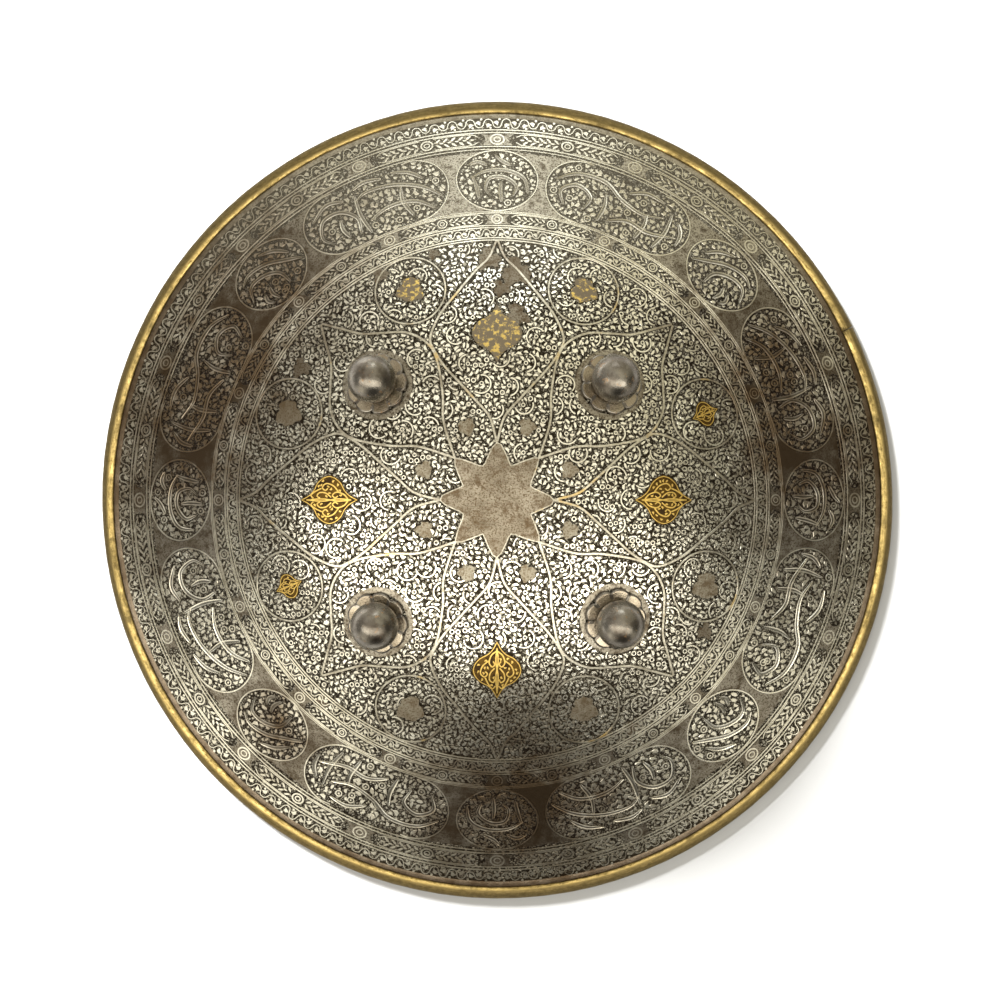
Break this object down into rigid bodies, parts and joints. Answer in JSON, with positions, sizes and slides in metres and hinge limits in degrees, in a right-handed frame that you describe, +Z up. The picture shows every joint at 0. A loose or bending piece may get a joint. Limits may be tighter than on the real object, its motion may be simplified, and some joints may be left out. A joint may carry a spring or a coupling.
{
  "type": "buckler shield",
  "caption": "Round convex steel buckler shield with chiselled scrollwork, a brass-bound rim, iron ball bosses on scalloped washers and grip rings behind.",
  "frame": {"origin": "on the surface the shield lies on, under the middle of the dome", "axes": "+Z up out of the dome's outer face; +Y towards the shield's upper bosses; +X to the right seen from outside"},
  "size_m": [0.3986, 0.4018, 0.0891],
  "materials": {
    "chiselled_steel": "etched and chiselled in low relief, bright on a dark ground, worn and browned",
    "rim_brass": "hammered and scratched, dull in the hollows",
    "dark_iron": "forged and rubbed smooth, dark brown-grey patina"
  },
  "bodies": {
    "root": {"shield_plate": "chiselled_steel", "brass_rim": "rim_brass", "boss_upper_left": "dark_iron", "boss_upper_right": "dark_iron", "boss_lower_left": "dark_iron", "boss_lower_right": "dark_iron", "rosette_upper_left": "dark_iron", "rosette_upper_right": "dark_iron", "rosette_lower_left": "dark_iron", "rosette_lower_right": "dark_iron", "ring_upper_left": "dark_iron", "ring_upper_right": "dark_iron", "ring_lower_left": "dark_iron", "ring_lower_right": "dark_iron"}
  },
  "joints": []
}
